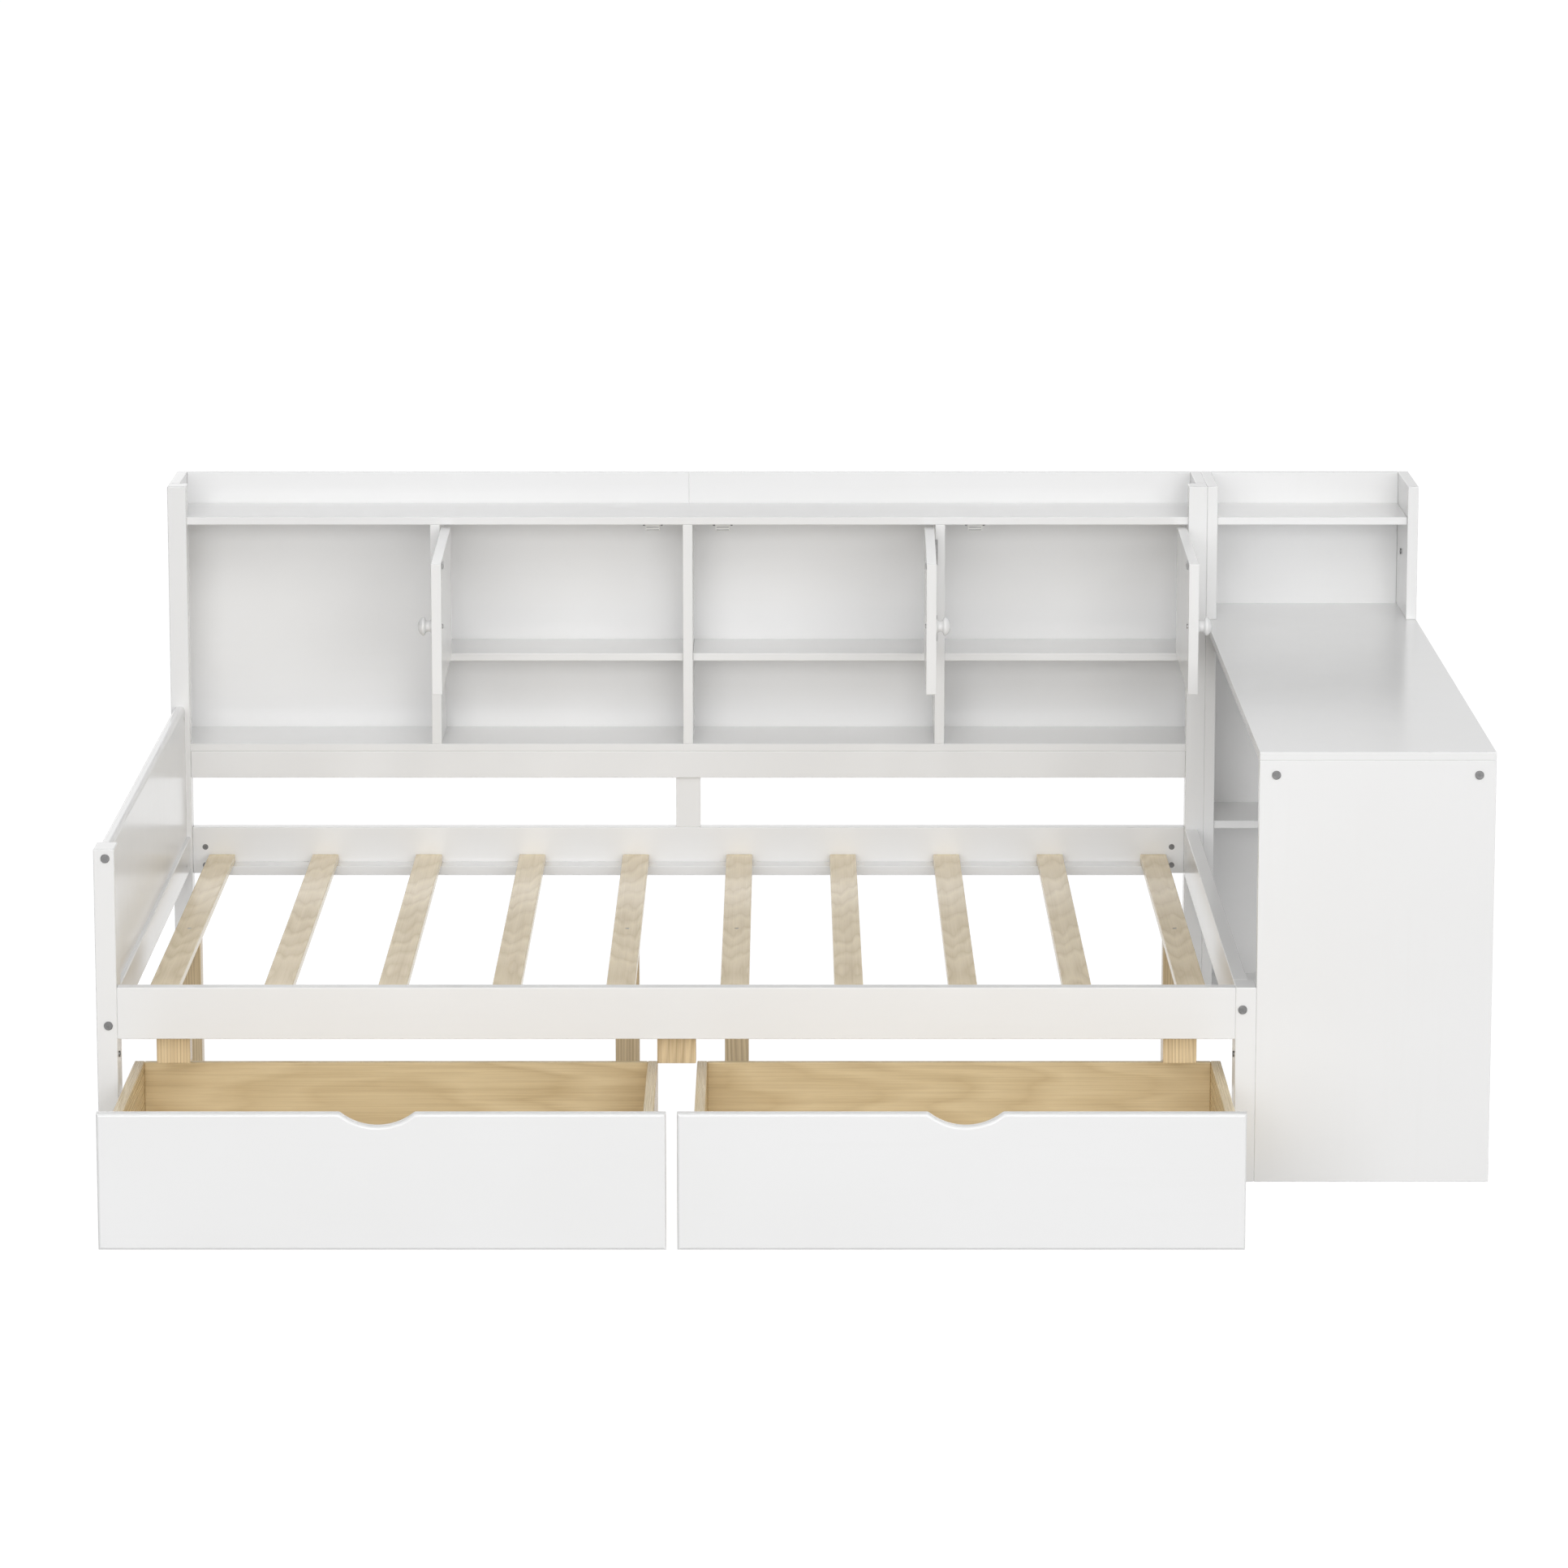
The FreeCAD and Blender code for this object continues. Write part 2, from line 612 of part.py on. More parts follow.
# ---- Drawers --------------------------------------------------------------------------------------
def drawer_front(x0, x1, scoop_x):
    """A front with rounded edges and a shallow round scoop in its top edge."""
    z0 = front_floor_gap
    z1 = rail_bottom - front_rail_gap
    y0 = front_face
    y1 = front_face + front_thickness
    panel = block(x0, x1, y0, y1, z0, z1)
    scoop_centre = Vector(scoop_x, y0, z1 - scoop_depth + scoop_radius)
    panel = panel.cut(rod(scoop_radius, front_thickness, scoop_centre, Vector(0, 1, 0)))
    corners = [edge for edge in panel.Edges
               if edge_runs_along(edge, Vector(0, 1, 0))
               and abs(edge.Vertexes[0].Z - z1) < same_place
               and abs(edge.Vertexes[0].X - scoop_x) < scoop_radius]
    panel = panel.makeFillet(scoop_corner_round, corners)
    for y, radius in ((y0, front_round), (y1, front_back_round)):
        rim = [edge for edge in panel.Edges
               if all(abs(vertex.Y - y) < same_place for vertex in edge.Vertexes)]
        panel = panel.makeFillet(radius, rim)
    return panel


def build_drawer(name, side):
    """One rolled-out drawer. side is -1 for the left drawer and +1 for the right one."""
    front_width = (inner_length - 2 * front_end_gap - front_middle_gap) / 2
    outer_end = middle + side * (middle - front_end_gap)
    inner_end = outer_end - side * front_width
    x0, x1 = sorted((outer_end, inner_end))
    scoop_x = (x0 + x1) / 2 + side * scoop_offset
    front = drawer_front(x0, x1, scoop_x)

    box_outer = outer_end - side * box_post_inset
    box_inner = inner_end + side * box_middle_inset
    box_x0, box_x1 = sorted((box_outer, box_inner))
    inside_x0 = box_x0 + box_side_thickness
    inside_x1 = box_x1 - box_side_thickness
    back_front = box_rear - box_back_thickness
    sides = [board(box_x0, inside_x0, box_front, box_rear, box_bottom, box_top, slat_round),
             board(inside_x1, box_x1, box_front, box_rear, box_bottom, box_top, slat_round)]
    back = board(inside_x0, inside_x1, back_front, box_rear, box_bottom, box_top, slat_round)

    seat = groove_depth - groove_clearance
    tray = block(inside_x0 - seat, inside_x1 + seat, box_front - seat, back_front + seat,
                 tray_bottom, tray_bottom + tray_thickness)
    groove = block(inside_x0 - groove_depth, inside_x1 + groove_depth, box_front - groove_depth,
                   back_front + groove_depth, tray_bottom - groove_clearance,
                   tray_bottom + tray_thickness + groove_clearance)
    add(name + "_front", front.cut(groove))
    add(name + "_sides", *[side_board.cut(groove) for side_board in sides])
    add(name + "_back", back.cut(groove))
    add(name + "_tray", tray)

    screws = []
    screw_y = box_rear - box_back_thickness / 2
    for start_x, direction in ((box_x0, Vector(1, 0, 0)), (box_x1, Vector(-1, 0, 0))):
        for height in (tray_bottom + tray_thickness + drawer_screw_rise, box_top - drawer_screw_drop):
            start = Vector(start_x, screw_y, height)
            screws.append(flush_screw(start, direction, drawer_screw_head_radius, screw_head_height,
                                      drawer_screw_reach, [name + "_sides", name + "_back"]))
    add(name + "_screws", *screws)

    brackets = []
    caster_xs = (inside_x0 + caster_inset_x, inside_x1 - caster_inset_x)
    for label, y in (("front", box_front + caster_inset_y), ("rear", box_rear - caster_inset_y)):
        wheels = []
        for x in caster_xs:
            axle = Vector(x, y, wheel_radius)
            brackets.append(caster_bracket(axle))
            wheels.append(caster_wheel(axle))
        add("%s_%s_wheels" % (name, label), *wheels)
    add(name + "_caster_brackets", *brackets)


def caster_wheel(axle):
    """A plain wheel with a bored hub standing in a shallow recess on each side."""
    start = axle - Vector(wheel_width / 2, 0, 0)
    along = Vector(1, 0, 0)
    wheel = rod(wheel_radius, wheel_width, start, along)
    rims = [edge for edge in wheel.Edges if edge.Closed]
    wheel = wheel.makeFillet(wheel_round, rims)
    for face_x, direction in ((start.x, along), (start.x + wheel_width, -along)):
        place = Vector(face_x, axle.y, axle.z)
        ring = rod(hub_recess_radius, hub_recess_depth, place, direction)
        wheel = wheel.cut(ring.cut(rod(hub_radius, hub_recess_depth, place, direction)))
    return wheel.cut(rod(axle_radius + running_fit, wheel_width, start, along))


def caster_bracket(axle):
    """A pressed bracket screwed under the tray, with its axle riveted between two cheeks."""
    half_inside = wheel_width / 2 + cheek_gap
    half_outside = half_inside + bracket_metal
    plate_half = half_outside + bracket_plate_lip
    plate_bottom = tray_bottom - bracket_metal
    bracket = board(axle.x - plate_half, axle.x + plate_half, axle.y - bracket_plate_length / 2,
                    axle.y + bracket_plate_length / 2, plate_bottom, tray_bottom)
    pieces = []
    for x0 in (axle.x - half_outside, axle.x + half_inside):
        pieces.append(block(x0, x0 + bracket_metal, axle.y - cheek_radius, axle.y + cheek_radius,
                            axle.z, plate_bottom + bracket_metal / 2))
        pieces.append(rod(cheek_radius, bracket_metal, Vector(x0, axle.y, axle.z), Vector(1, 0, 0)))
    length = 2 * (half_outside + axle_head_height)
    pieces.append(rod(axle_radius, length, axle - Vector(length / 2, 0, 0), Vector(1, 0, 0)))
    return bracket.fuse(pieces).removeSplitter()


# ---- Fasteners ------------------------------------------------------------------------------------
def hexagon(across_flats, depth):
    """A hexagonal prism along +Z from the origin."""
    sides = 6
    radius = across_flats / 2 / math.cos(math.pi / sides)
    angles = [turn * 2 * math.pi / sides for turn in range(sides)]
    corners = [Vector(radius * math.cos(angle), radius * math.sin(angle), 0) for angle in angles]
    return Part.Face(Part.makePolygon(corners + corners[:1])).extrude(Vector(0, 0, depth))


def make_bolt(seat, direction, reach, head_radius):
    """A flat-headed bolt with a hexagon socket. seat is under the head, direction goes into the wood."""
    head = rod(head_radius, bolt_head_height, Vector(0, 0, -bolt_head_height), Vector(0, 0, 1))
    rim = [edge for edge in head.Edges
           if edge.Closed and abs(edge.Vertexes[0].Z + bolt_head_height) < same_place]
    head = head.makeFillet(bolt_head_round, rim)
    socket = hexagon(bolt_socket, bolt_socket_depth)
    socket.translate(Vector(0, 0, -bolt_head_height))
    shank = rod(bolt_radius, reach, Vector(0, 0, 0), Vector(0, 0, 1))
    return turned(seat, direction, head.fuse(shank).cut(socket).removeSplitter())


def fasten(face_point, direction, reach, pieces, head_radius=bolt_head_radius, sunk=False):
    """Put a bolt in at a face and drill the pieces it passes through. A sunk head is flush."""
    depth = bolt_head_height if sunk else 0.0
    seat = face_point + direction * depth
    bolts.append(make_bolt(seat, direction, reach, head_radius))
    hole = rod(bolt_radius + drill_fit, reach + bolt_end_room, seat, direction)
    cut_from(pieces, hole)
    if sunk:
        cut_from(pieces, rod(head_radius + drill_fit, bolt_head_height, face_point, direction))
    return hole


def stud(start, direction, reach, pieces):
    """A plain stud, hidden inside the pieces it joins."""
    bolts.append(rod(bolt_radius, reach, start, direction))
    hole = rod(bolt_radius + drill_fit, reach + bolt_end_room, start, direction)
    cut_from(pieces, hole)
    return hole


def barrel_nut(face_point, direction, depth_to_bolt, hole, piece):
    """A slotted barrel nut let in flush from a face, crossed by the bolt's hole."""
    length = depth_to_bolt + nut_overrun
    nut = rod(nut_radius, length, face_point, direction).cut(hole)
    slot_side = Vector(0, 0, 1)
    slot_length = direction.cross(slot_side)
    corner = face_point - slot_side * (nut_slot / 2) - slot_length * nut_radius
    slot = Part.Face(Part.makePolygon([
        corner,
        corner + slot_length * (2 * nut_radius),
        corner + slot_length * (2 * nut_radius) + slot_side * nut_slot,
        corner + slot_side * nut_slot,
        corner])).extrude(direction * nut_slot)
    nuts.append(nut.cut(slot))
    cut_from([piece], rod(nut_radius + drill_fit, length, face_point, direction))


def flush_screw(start, direction, head_radius, head_height, reach, pieces):
    """A screw whose slotted head ends flush with the face it enters. Its pieces are drilled for it."""
    head = rod(head_radius, head_height, Vector(0, 0, 0), Vector(0, 0, 1))
    shank = rod(screw_radius, reach, Vector(0, 0, 0), Vector(0, 0, 1))
    slot = block(-head_radius, head_radius, -screw_slot_width / 2, screw_slot_width / 2,
                 0, screw_slot_depth)
    screw = turned(start, direction, head.fuse(shank).cut(slot).removeSplitter())
    cut_from(pieces, rod(head_radius + drill_fit, head_height, start, direction))
    cut_from(pieces, rod(screw_radius + drill_fit, reach + bolt_end_room, start, direction))
    return screw


def fasten_footboard():
    bolt_x = -foot_rail_inset - foot_rail_thickness / 2
    forward = Vector(0, 1, 0)
    backward = Vector(0, -1, 0)
    inwards = Vector(-1, 0, 0)
    members = (
        ("footboard_panel", -foot_panel_inset, foot_nut_setback,
         foot_height - foot_bolt_drop_front, foot_height - foot_bolt_drop_rear),
        ("footboard_lower_rail", -foot_rail_inset, foot_rail_nut_setback,
         foot_rail_bottom + foot_rail_bolt_rise_front, foot_rail_bottom + foot_rail_bolt_rise_rear))
    for piece, inner_face, setback, front_z, rear_z in members:
        reach = post_depth + setback + bolt_reach_past_nut
        hole = fasten(Vector(bolt_x, 0, front_z), forward, reach, ["left_front_post", piece])
        barrel_nut(Vector(inner_face, post_depth + setback, front_z), inwards,
                   inner_face - bolt_x, hole, piece)
        reach = upright_depth + setback + bolt_reach_past_nut
        hole = fasten(Vector(bolt_x, upright_back, rear_z), backward, reach, ["left_upright", piece],
                      sunk=True)
        barrel_nut(Vector(inner_face, upright_front - setback, rear_z), inwards,
                   inner_face - bolt_x, hole, piece)


def fasten_right_end_rail():
    """A bolt through the front post, and a hidden stud in the right upright."""
    bolt_x = inner_length + rail_thickness / 2
    z = rail_bottom + end_rail_bolt_rise
    past_end = end_rail_nut_setback + bolt_reach_past_nut
    bolt_hole = fasten(Vector(bolt_x, 0, z), Vector(0, 1, 0), post_depth + past_end,
                       ["right_front_post", "right_end_rail"])
    stud_hole = stud(Vector(bolt_x, upright_front + end_rail_stud_depth, z), Vector(0, -1, 0),
                     end_rail_stud_depth + past_end, ["right_upright", "right_end_rail"])
    for nut_y, hole in ((post_depth + end_rail_nut_setback, bolt_hole),
                        (upright_front - end_rail_nut_setback, stud_hole)):
        barrel_nut(Vector(inner_length, nut_y, z), Vector(1, 0, 0), rail_thickness / 2, hole,
                   "right_end_rail")


def fasten_long_rails():
    """Two bolts through each post into each end of the front and back rails."""
    half = rail_thickness / 2
    rails = (("front_rail", half, rail_thickness, Vector(0, -1, 0), front_rail_bolt_rises,
              "left_front_post", "right_front_post"),
             ("back_rail", back_rail_front + half, back_rail_front, Vector(0, 1, 0),
              back_rail_bolt_rises, "left_upright", "right_upright"))
    reach = post_width + rail_nut_setback + bolt_reach_past_nut
    for rail, bolt_y, nut_face, nut_direction, rises, left_post, right_post in rails:
        for rise in rises:
            z = rail_bottom + rise
            for face_x, direction, post in ((left_outer, Vector(1, 0, 0), left_post),
                                            (right_outer, Vector(-1, 0, 0), right_post)):
                hole = fasten(Vector(face_x, bolt_y, z), direction, reach, [post, rail],
                              small_head_radius, sunk=True)
                nut_x = face_x + direction.x * (post_width + rail_nut_setback)
                barrel_nut(Vector(nut_x, nut_face, z), nut_direction, half, hole, rail)


def fasten_post_cross_bolts():
    z = rail_bottom - post_bolt_drop
    for face_x, direction, post in ((0, Vector(-1, 0, 0), "left_front_post"),
                                    (inner_length, Vector(1, 0, 0), "right_front_post")):
        fasten(Vector(face_x, post_bolt_setback, z), direction, post_bolt_reach, [post],
               small_head_radius)


def fasten_desk():
    z = desk_under - desk_bolt_drop
    half = desk_rail_thickness / 2
    reach = desk_front_thickness + desk_nut_setback + bolt_reach_past_nut
    nut_y = desk_front_thickness + desk_nut_setback
    for bolt_x, inwards in ((desk_left_inner + half, -1), (desk_right_inner - half, 1)):
        hole = fasten(Vector(bolt_x, 0, z), Vector(0, 1, 0), reach,
                      ["desk_front_panel", "desk_side_rails"])
        barrel_nut(Vector(bolt_x - inwards * half, nut_y, z), Vector(inwards, 0, 0), half, hole,
                   "desk_side_rails")
    y = upright_front + hutch_bolt_setback
    hutch_z = desk_height + hutch_bolt_level * (top_shelf_bottom - desk_height)
    fasten(Vector(desk_left_inner, y, hutch_z), Vector(-1, 0, 0), side_thickness + hutch_bolt_grip,
           ["hutch_sides", "bookcase_sides"], small_head_radius)
    fasten(Vector(desk_right_inner, y, hutch_z), Vector(1, 0, 0), side_thickness - hutch_bolt_cover,
           ["hutch_sides"], small_head_radius)


def fasten_slats():
    screws = []
    for index in leg_slats:
        centre = leg_centre(index)
        start = Vector(centre.x, centre.y, slat_top)
        screws.append(flush_screw(start, Vector(0, 0, -1), slat_screw_head_radius,
                                  slat_screw_head_height, slat_screw_reach, ["slats", "slat_legs"]))
    add("slat_screws", *screws)


# ---- Assembly and export --------------------------------------------------------------------------
build_posts()
build_footboard()
build_rails()
build_slats()
build_stop_blocks()
build_bookcase()
build_desk()
build_doors()
build_drawer("left_drawer", -1)
build_drawer("right_drawer", 1)
fasten_footboard()
fasten_right_end_rail()
fasten_long_rails()
fasten_post_cross_bolts()
fasten_desk()
fasten_slats()
add("frame_bolts", *bolts)
add("barrel_nuts", *nuts)

for node, solids in nodes.items():
    moved = []
    for solid in solids:
        solid.translate(-footprint_centre)
        moved.extend(solid.Solids)
    shape = moved[0] if len(moved) == 1 else Part.makeCompound(moved)
    shape.exportStep("parts/%s.step" % node)
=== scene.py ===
"""A platform bed with rolling storage drawers, a bookcase and a desk, dressed in its finishes."""
import math

import bmesh
import bpy
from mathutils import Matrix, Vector


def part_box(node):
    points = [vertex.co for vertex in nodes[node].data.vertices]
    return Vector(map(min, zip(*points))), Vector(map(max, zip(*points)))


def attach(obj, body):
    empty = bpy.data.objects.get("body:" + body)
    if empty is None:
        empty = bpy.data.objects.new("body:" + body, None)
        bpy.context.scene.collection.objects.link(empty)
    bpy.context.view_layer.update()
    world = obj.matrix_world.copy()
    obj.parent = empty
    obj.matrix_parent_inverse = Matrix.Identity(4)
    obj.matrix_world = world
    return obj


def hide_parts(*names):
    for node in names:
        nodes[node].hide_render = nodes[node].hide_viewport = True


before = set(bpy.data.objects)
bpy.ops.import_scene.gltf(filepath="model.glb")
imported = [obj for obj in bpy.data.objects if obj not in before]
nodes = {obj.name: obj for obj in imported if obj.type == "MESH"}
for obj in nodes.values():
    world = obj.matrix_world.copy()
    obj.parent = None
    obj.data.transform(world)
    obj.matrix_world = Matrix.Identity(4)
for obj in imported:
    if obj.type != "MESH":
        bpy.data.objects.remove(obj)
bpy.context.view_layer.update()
scene = bpy.context.scene

MM = 0.001


# ---- Node graphs ---------------------------------------------------------------------------------
# A Mix node's colour sockets, which share their names with its number and vector sockets.
MIX_FIRST, MIX_SECOND, MIX_RESULT = 6, 7, 2


class Graph:
    """Nodes under construction: sockets may be given numbers, colours or other sockets."""

    def __init__(self, tree):
        self.tree = tree

    def put(self, socket, value):
        if isinstance(value, bpy.types.NodeSocket):
            self.tree.links.new(value, socket)
        else:
            socket.default_value = value

    def node(self, kind, *values, **settings):
        made = self.tree.nodes.new(kind)
        for key, value in settings.items():
            setattr(made, key, value)
        for socket, value in zip(made.inputs, values):
            if value is not None:
                self.put(socket, value)
        return made

    def math(self, operation, *values):
        return self.node("ShaderNodeMath", *values, operation=operation).outputs[0]

    def place(self, kind="Object"):
        return self.node("ShaderNodeTexCoord").outputs[kind]

    def parts(self, vector):
        return self.node("ShaderNodeSeparateXYZ", vector).outputs

    def joined(self, x, y, z):
        return self.node("ShaderNodeCombineXYZ", x, y, z).outputs[0]

    def noise(self, vector, scale, detail=2.0, roughness=0.5):
        made = self.node("ShaderNodeTexNoise")
        self.put(made.inputs["Vector"], vector)
        made.inputs["Scale"].default_value = scale
        made.inputs["Detail"].default_value = detail
        made.inputs["Roughness"].default_value = roughness
        return made.outputs["Fac"]

    def spread(self, value, low, high, new_low, new_high):
        made = self.node("ShaderNodeMapRange", value, low, high, new_low, new_high)
        return made.outputs[0]

    def ramp(self, value, stops):
        made = self.node("ShaderNodeValToRGB", value)
        points = made.color_ramp.elements
        while len(points) < len(stops):
            points.new(0.5)
        for point, (position, level) in zip(points, stops):
            point.position = position
            point.color = (level, level, level, 1.0)
        return made.outputs[0]

    def mix(self, share, first, second):
        made = self.node("ShaderNodeMix", data_type="RGBA")
        self.put(made.inputs["Factor"], share)
        self.put(made.inputs[MIX_FIRST], first)
        self.put(made.inputs[MIX_SECOND], second)
        return made.outputs[MIX_RESULT]

    def bump(self, height, depth, strength=1.0, under=None):
        made = self.node("ShaderNodeBump")
        made.inputs["Strength"].default_value = strength
        made.inputs["Distance"].default_value = depth
        self.put(made.inputs["Height"], height)
        if under is not None:
            self.put(made.inputs["Normal"], under)
        return made.outputs[0]


class Surface(Graph):
    """A material under construction."""

    def __init__(self, name):
        self.material = bpy.data.materials.new(name)
        self.material.use_nodes = True
        super().__init__(self.material.node_tree)
        self.tree.nodes.clear()
        self.shader = self.tree.nodes.new("ShaderNodeBsdfPrincipled")
        output = self.tree.nodes.new("ShaderNodeOutputMaterial")
        self.tree.links.new(self.shader.outputs[0], output.inputs[0])

    def finish(self, colour, roughness, normal=None, **fixed):
        self.put(self.shader.inputs["Base Color"], colour)
        self.put(self.shader.inputs["Roughness"], roughness)
        if normal is not None:
            self.put(self.shader.inputs["Normal"], normal)
        for key, value in fixed.items():
            self.shader.inputs[key.replace("_", " ")].default_value = value
        return self.material


def rgba(red, green, blue):
    return (red, green, blue, 1.0)


# ---- Painted boards --------------------------------------------------------------------------------
PAINT_WARM = rgba(0.868, 0.867, 0.864)
PAINT_COOL = rgba(0.884, 0.884, 0.884)
PAINT_GRAIN = rgba(0.860, 0.858, 0.852)
PAINT_GLOSS = (0.205, 0.215)        # the paint's roughness, from its smoothest to its dullest
GRAIN_ACROSS, GRAIN_ALONG = 60.0, 2.5       # how fine the wood under the paint is, per metre
GRAIN_SHARE, GRAIN_HEIGHT = 0.35, 0.002 * MM
CLOUD_SIZE, GLOSS_SIZE, PEEL_SIZE = 2.3, 14.0, 420.0
PEEL_HEIGHT = 0.004 * MM


def paint(name, grain):
    """Sprayed satin paint. The wood's grain shows faintly through it, along the board."""
    g = Surface(name)
    place = g.place()
    stretch = [GRAIN_ACROSS] * 3
    stretch[grain] = GRAIN_ALONG
    along = g.node("ShaderNodeVectorMath", place, stretch, operation="MULTIPLY").outputs[0]
    telegraph = g.noise(along, 1.0, 3.0, 0.6)
    cloud = g.noise(place, CLOUD_SIZE, 2.0)
    peel = g.noise(place, PEEL_SIZE, 2.0, 0.6)
    tone = g.mix(g.spread(cloud, 0.35, 0.65, 0.0, 1.0), PAINT_WARM, PAINT_COOL)
    tone = g.mix(g.spread(telegraph, 0.55, 0.8, 0.0, GRAIN_SHARE), tone, PAINT_GRAIN)
    gloss = g.spread(g.noise(place, GLOSS_SIZE, 3.0), 0.3, 0.7, *PAINT_GLOSS)
    normal = g.bump(telegraph, GRAIN_HEIGHT, 0.5)
    normal = g.bump(peel, PEEL_HEIGHT, 0.5, normal)
    return g.finish(tone, gloss, normal, Coat_Weight=0.20, Coat_Roughness=0.15)


# ---- Wood ------------------------------------------------------------------------------------------
# One growth ring's tone, from its dark late wood through its pale early wood and back.
RING_STOPS = [(0.0, 0.30), (0.10, 0.0), (0.22, 0.45), (0.42, 1.0), (0.75, 0.62), (1.0, 0.30)]
SADDLE_SOFTNESS = 0.004     # square metres: rounds the top of the arches
# Noises: how fine across the grain per metre, how many times longer along it, detail, roughness.
WAVE = (22.0, 8.0, 2.0, 0.5)
SWAY = (14.0, 6.0, 1.0, 0.5)
RIPPLE = (130.0, 30.0, 2.0, 0.6)
# The same, with the first number as a share of the board's own streak.
WIDE = (0.35, 45.0, 2.0, 0.5)
MIDDLE_STREAK = (1.0, 70.0, 2.0, 0.6)
FIBRE = (4.0, 80.0, 2.0, 0.6)
PORE = (13.0, 40.0, 1.0, 0.5)
RING_STEP, RING_FADE = 0.45, 1.6    # how the rings' strength changes from ring to ring and per metre
SEED_SHIFT, SEED_SADDLE = 7.3, 0.2  # how far a board's own number moves its noise and its arches
WAVE_HEIGHT, SWAY_WIDTH, RING_RIPPLE = 0.014, 0.010, 0.25
WIDE_SHARE, MIDDLE_SHARE, FIBRE_SHARE, PORE_SHARE = 0.45, 0.7, 0.45, 0.14
PORE_DARKNESS = 0.72
RING_HEIGHT, FIBRE_HEIGHT, PORE_HEIGHT = 0.02 * MM, 0.008 * MM, 0.006 * MM


def wood(name, grain, across, pale, deep, ring=0.006, saddle=0.0, rise=0.03, slope=0.05, drift=0.0,
         offset=0.0, streak=90.0, cells=None, vary=0.0, figure=0.5, gloss=(0.22, 0.34)):
    """Solid timber: growth rings cut through by the board, so faces, edges and ends agree.

    grain and across are axes. The rings stand highest over the face, by rise, at the place saddle
    along the board and fall away by slope on both sides of it, which draws the nested arches.
    Their middle lies at offset across the board and moves by drift along it. streak is how many
    fine streaks there are per metre across, and figure is how strongly the rings show.
    cells is (first board's centre, pitch, axis) where one mesh holds several boards, and vary is
    how much these boards differ."""
    g = Surface(name)
    p = g.parts(g.place())
    a, u, w = p[grain], p[across], p[3 - grain - across]
    seed = 0.0
    if cells:
        first, pitch, axis = cells
        index = g.math("ROUND", g.math("DIVIDE", g.math("SUBTRACT", p[axis], first), pitch))
        seed = g.node("ShaderNodeTexWhiteNoise", noise_dimensions="1D")
        g.put(seed.inputs["W"], index)
        seed = g.math("MULTIPLY_ADD", seed.outputs["Value"], vary, -0.5 * vary)
        centre = g.math("MULTIPLY_ADD", index, pitch, first)
        if axis == across:
            u = g.math("SUBTRACT", u, centre)
        else:
            w = g.math("SUBTRACT", w, centre)
    shift = g.math("MULTIPLY", seed, SEED_SHIFT)

    def stretched(frequency, length, detail, roughness):
        """Noise drawn out along the grain, so many times longer than it is wide."""
        place = g.joined(g.math("MULTIPLY", a, frequency / length), g.math("MULTIPLY", u, frequency),
                         g.math("MULTIPLY_ADD", w, frequency, shift))
        return g.math("SUBTRACT", g.noise(place, 1.0, detail, roughness), 0.5)

    wave = stretched(*WAVE)
    sway = stretched(*SWAY)
    ripple = stretched(*RIPPLE)
    run = g.math("SUBTRACT", a, g.math("MULTIPLY_ADD", seed, SEED_SADDLE, saddle))
    crest = g.math("SQRT", g.math("MULTIPLY_ADD", run, run, SADDLE_SOFTNESS))
    below = g.math("MULTIPLY_ADD", crest, -slope, g.math("ADD", w, rise))
    below = g.math("MULTIPLY_ADD", wave, WAVE_HEIGHT, below)
    side = g.math("MULTIPLY_ADD", run, drift, g.math("SUBTRACT", u, offset))
    side = g.math("MULTIPLY_ADD", sway, SWAY_WIDTH, side)
    radius = g.math("SQRT", g.math("ADD", g.math("MULTIPLY", side, side), g.math("MULTIPLY", below, below)))
    radius = g.math("MULTIPLY_ADD", ripple, ring * RING_RIPPLE, radius)
    count = g.math("DIVIDE", radius, ring)
    line = g.ramp(g.math("FRACT", count), RING_STOPS)
    by_ring = g.joined(g.math("MULTIPLY", count, RING_STEP), g.math("MULTIPLY", a, RING_FADE), shift)
    strength = g.spread(g.noise(by_ring, 1.0, 1.0), 0.3, 0.7, 0.45, 1.0)
    line = g.math("MULTIPLY", g.math("SUBTRACT", line, 0.5), strength)
    wide = stretched(streak * WIDE[0], *WIDE[1:])
    middle = stretched(streak * MIDDLE_STREAK[0], *MIDDLE_STREAK[1:])
    fibre = stretched(streak * FIBRE[0], *FIBRE[1:])
    pore = g.spread(stretched(streak * PORE[0], *PORE[1:]), 0.10, 0.22, 0.0, 1.0)
    share = g.math("MULTIPLY_ADD", line, figure, 0.5)
    share = g.math("MULTIPLY_ADD", wide, WIDE_SHARE, share)
    share = g.math("MULTIPLY_ADD", middle, MIDDLE_SHARE, share)
    share = g.math("MULTIPLY_ADD", fibre, FIBRE_SHARE, share)
    tone = g.mix(g.spread(share, 0.0, 1.0, 0.0, 1.0), deep, pale)
    pore_tone = rgba(*(PORE_DARKNESS * channel for channel in deep[:3]))
    tone = g.mix(g.math("MULTIPLY", pore, PORE_SHARE), tone, pore_tone)
    rough = g.spread(fibre, -0.3, 0.3, gloss[0], gloss[1])
    normal = g.bump(line, RING_HEIGHT, 0.4)
    normal = g.bump(fibre, FIBRE_HEIGHT, 0.5, normal)
    normal = g.bump(g.math("SUBTRACT", 1.0, pore), PORE_HEIGHT, 0.5, normal)
    return g.finish(tone, rough, normal)


